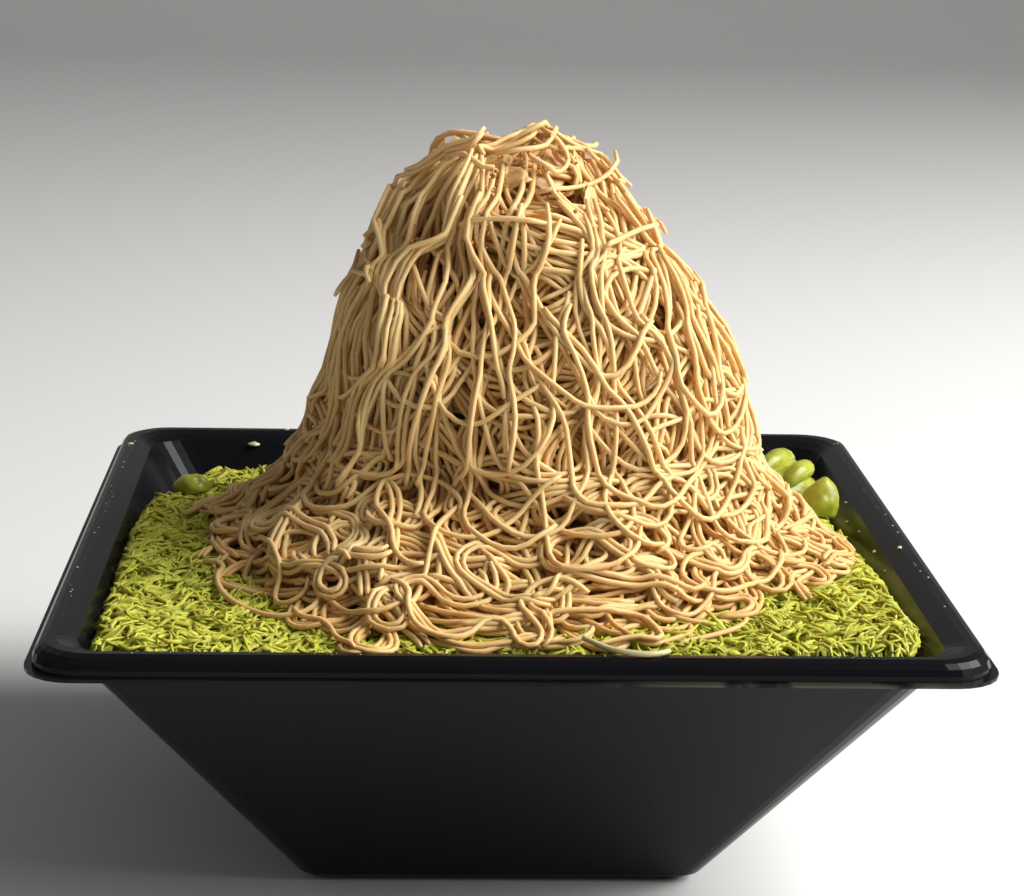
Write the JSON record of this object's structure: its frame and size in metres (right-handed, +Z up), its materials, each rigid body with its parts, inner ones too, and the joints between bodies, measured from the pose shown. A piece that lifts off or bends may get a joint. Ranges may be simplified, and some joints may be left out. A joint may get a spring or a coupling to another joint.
{
  "type": "shaved ice dessert in a bowl",
  "caption": "Flared square bowl with a rolled lip, filled with green shaved ice under a tall heap of thin piped strands.",
  "frame": {"origin": "middle of the bowl's foot, on the surface it stands on", "axes": "+Z is up, -Y is the shown side, +X is to the right when that side is seen"},
  "size_m": [0.19, 0.19, 0.16],
  "materials": {
    "bowl": "smooth moulded black plastic with a soft gloss",
    "green_ice": "wet shaved ice, fine shreds",
    "strand_heap": "soft moist paste, piped in thin strands",
    "green_paste": "smooth wet paste"
  },
  "bodies": {
    "root": {"bowl": "bowl", "green_ice": "green_ice", "strand_heap": "strand_heap", "lump_right": "green_paste", "fold_back_right": "green_paste", "lump_back_left": "green_paste"}
  },
  "joints": []
}
